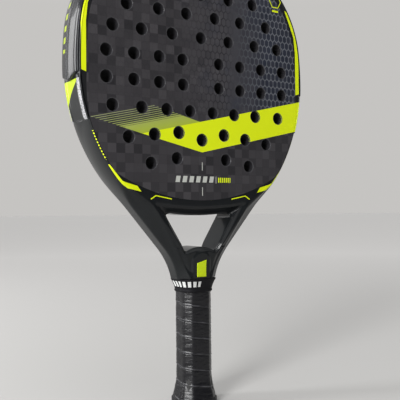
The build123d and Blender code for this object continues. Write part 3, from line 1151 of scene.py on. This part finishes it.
def make_bead_highlight_paint():
    """Thick clear lacquer on the holes' edges, coloured a lighter grey than the frame as a painted
    highlight where the edges catch the light.
    """
    paint = Paint("hole_lacquer_highlight", roughness=0.3, coat=0.2, coat_roughness=0.2, specular=0.3)
    # Painted highlight: mid grey, far lighter than the black lacquer round it
    colour = paint.blend((0.030, 0.030, 0.034), (0.075, 0.075, 0.080), paint.grain(5.0))
    return paint.finish(colour, paint.grain(1.0) * 0.1 + 0.15)


def make_plain_paint(name, dark, light, roughness, size):
    """Moulded part with slight mottling and a fine surface grain."""
    paint = Paint(name, roughness=roughness)
    grain = paint.grain(size)
    colour = paint.blend(dark, light, paint.grain(size * 12))
    return paint.finish(colour, grain * 0.2 + (roughness - 0.1), grain, strength=0.25, depth=0.06)


lacquer = make_lacquer()
carbon = make_carbon()
foam = make_foam_paint()
rubber = make_plain_paint("butt_cap", (0.012, 0.012, 0.013), (0.02, 0.02, 0.022), 0.5, 0.6)
ring_paint = make_plain_paint("butt_ring", (0.10, 0.10, 0.105), (0.14, 0.14, 0.145), 0.4, 0.5)
shell_paint = make_plain_paint("handle_shell", (0.02, 0.02, 0.022), (0.03, 0.03, 0.033), 0.45, 1.0)
cushion = make_plain_paint("base_grip", (0.02, 0.02, 0.02), (0.035, 0.035, 0.035), 0.7, 0.8)
tape_paint = make_plain_paint("tape", (0.015, 0.015, 0.015), (0.022, 0.022, 0.022), 0.4, 0.5)
badge_paint = make_badge_paint()
bead_highlight_paint = make_bead_highlight_paint()

KEPT = {
    "foam_core": foam,
    "bridge_foam": foam,
    "handle_plug": foam,
    "front_face": carbon,
    "back_face": carbon,
    "butt_cap": rubber,
    "butt_ring": ring_paint,
    "handle_shell": shell_paint,
    "base_grip": cushion,
    "finishing_tape": tape_paint,
}
for node, material in KEPT.items():
    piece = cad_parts[node]
    piece.data.materials.clear()
    piece.data.materials.append(material)

# ---------------------------------------------------------------- pieces

MOULDED = ("head_tube", "left_arm_tube", "right_arm_tube", "throat_bridge", "neck_yoke")
BUILT = [
    (make_frame_moulding(lacquer), "frame_lacquer", MOULDED),
    (make_protector(make_protector_paint()), "protector", ("head_protector",)),
    (make_wrap(make_grip_paint()), "overgrip", ("overgrip",)),
    (make_collar(make_collar_paint()), "collar", ("grip_collar",)),
    (make_badge("badge_front", badge_paint, -1), "badge", ("front_badge",)),
    (make_badge("badge_back", badge_paint, 1), "badge", ("back_badge",)),
    (make_hole_rims("hole_rims_front", bead_highlight_paint, -1), "carbon_face", ()),
    (make_hole_rims("hole_rims_back", bead_highlight_paint, 1), "carbon_face", ()),
]
for piece, slot, nodes in BUILT:
    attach(piece, "root")
    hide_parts(*nodes)

# ---------------------------------------------------------------- stage


FLOOR_RINGS = (0.0, 400.0, 1200.0, 4000.0, 30000.0)


def make_floor():
    """Pale floor, lighter with distance so that its far edge nearly meets the wall's tone."""
    shape = Patchwork()
    turn = steps(48, 0, 2 * math.pi)[:-1]
    rows = [[(r * math.cos(a), r * math.sin(a), 0.0) for a in turn] for r in FLOOR_RINGS]
    shape.grid(rows, closed=True)
    paint = Paint("floor_paint", roughness=0.85)
    far = ((paint.x * paint.x + paint.y * paint.y).root() / 1000.0).ramp(0.1, 2.2)
    colour = paint.blend((0.47, 0.465, 0.455), (0.76, 0.75, 0.735), far)
    return shape.build("floor", paint.finish(colour))


floor = make_floor()

world = bpy.data.worlds.new("studio")
bpy.context.scene.world = world
world.use_nodes = True
sky = world.node_tree.nodes["Background"]
WALL = (0.56, 0.55, 0.535)
ZENITH = (1.0, 1.0, 1.0)
ROOM = (0.10, 0.10, 0.105)


def light_world(tree, background):
    """A pale wall behind the racket, a dimmer room on every other side and a bright ceiling."""
    direction = tree.nodes.new("ShaderNodeTexCoord").outputs["Generated"]
    split = tree.nodes.new("ShaderNodeSeparateXYZ")
    tree.links.new(direction, split.inputs[0])
    x, y, z = (Field(tree, split.outputs[i]) for i in range(3))
    shares = [(WALL, (x * 0.53 + y * 0.85).ramp(0.35, 0.8)), (ZENITH, z.ramp(0.3, 0.9))]
    colour = ROOM
    for target, share in shares:
        node = tree.nodes.new("ShaderNodeMix")
        node.data_type = "RGBA"
        tree.links.new(share.socket, node.inputs[0])
        if isinstance(colour, tuple):
            node.inputs[6].default_value = (*colour, 1.0)
        else:
            tree.links.new(colour, node.inputs[6])
        node.inputs[7].default_value = (*target, 1.0)
        colour = node.outputs[2]
    tree.links.new(colour, background.inputs["Color"])


light_world(world.node_tree, sky)


def make_light(name, place, aim, size, power):
    lamp = bpy.data.lights.new(name, "AREA")
    lamp.shape = "RECTANGLE"
    lamp.size, lamp.size_y = size
    lamp.energy = power
    holder = bpy.data.objects.new(name, lamp)
    holder.location = Vector(place)
    holder.rotation_mode = "QUATERNION"
    holder.rotation_quaternion = (Vector(aim) - holder.location).to_track_quat("-Z", "Y")
    bpy.context.scene.collection.objects.link(holder)


make_light("window", (-1.45, -0.85, 0.75), (0.0, 0.0, 0.28), (0.5, 1.0), 35.0)
make_light("side_window", (-1.5, 0.62, 0.75), (0.0, 0.0, 0.28), (0.3, 1.0), 14.0)
make_light("wall_glow", (-0.93, 1.28, 0.7), (0.0, 0.0, 0.3), (0.26, 1.0), 4.0)

# Camera: low and close, left of the racket's front
CAMERA_PLACE = Vector((-0.3355, -0.5449, 0.189))
CAMERA_FORWARD = Vector((0.5343, 0.8451, 0.0166))
CAMERA_ROLL = math.radians(-0.55)
lens = bpy.data.cameras.new("camera")
lens.sensor_width = 36.0
lens.lens = 57.7
camera = bpy.data.objects.new("camera", lens)
camera.location = CAMERA_PLACE
camera.rotation_mode = "QUATERNION"
level = CAMERA_FORWARD.to_track_quat("-Z", "Y")
camera.rotation_quaternion = level @ Quaternion((0, 0, 1), CAMERA_ROLL)
bpy.context.scene.collection.objects.link(camera)
bpy.context.scene.camera = camera
bpy.context.scene.view_settings.view_transform = "Standard"
